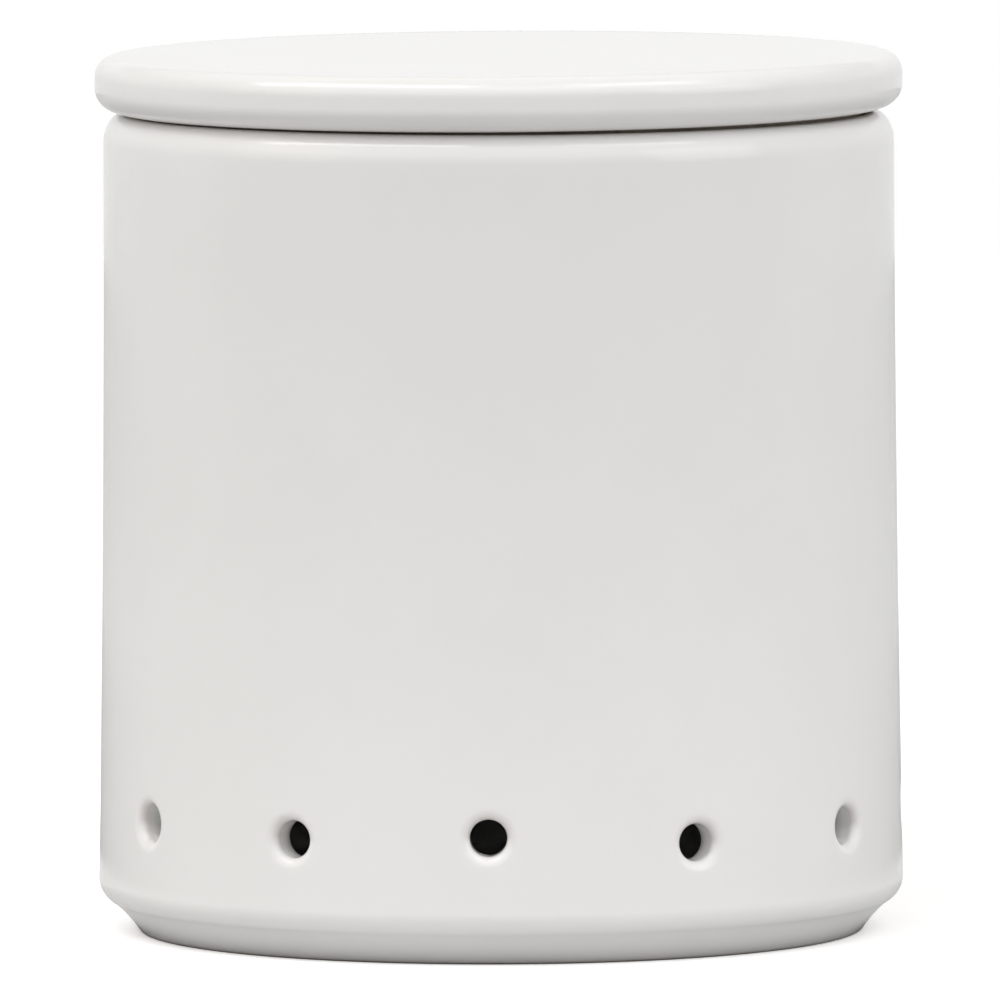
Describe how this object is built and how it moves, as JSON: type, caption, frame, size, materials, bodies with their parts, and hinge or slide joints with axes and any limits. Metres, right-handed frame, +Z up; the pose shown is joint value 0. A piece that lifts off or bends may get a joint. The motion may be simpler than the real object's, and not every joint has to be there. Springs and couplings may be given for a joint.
{
  "type": "garlic keeper",
  "caption": "Round white stoneware garlic keeper: a straight-sided jar on a foot ring, with a ring of small vents low in its wall, and a flat lift-off lid with a flange.",
  "frame": {"origin": "middle of the foot ring's underside, on the surface that the jar stands on", "axes": "+Z up along the axis of revolution; one vent points along -Y"},
  "size_m": [0.115, 0.115, 0.1251],
  "materials": {
    "white_glaze": "gloss"
  },
  "bodies": {
    "jar": {"jar": "white_glaze"},
    "lid": {"lid": "white_glaze"}
  },
  "joints": [
    {"name": "lid_lift", "type": "slide", "parent": "jar", "child": "lid", "axis": [0, 0, 1], "range_m": [0, 0.08]}
  ]
}
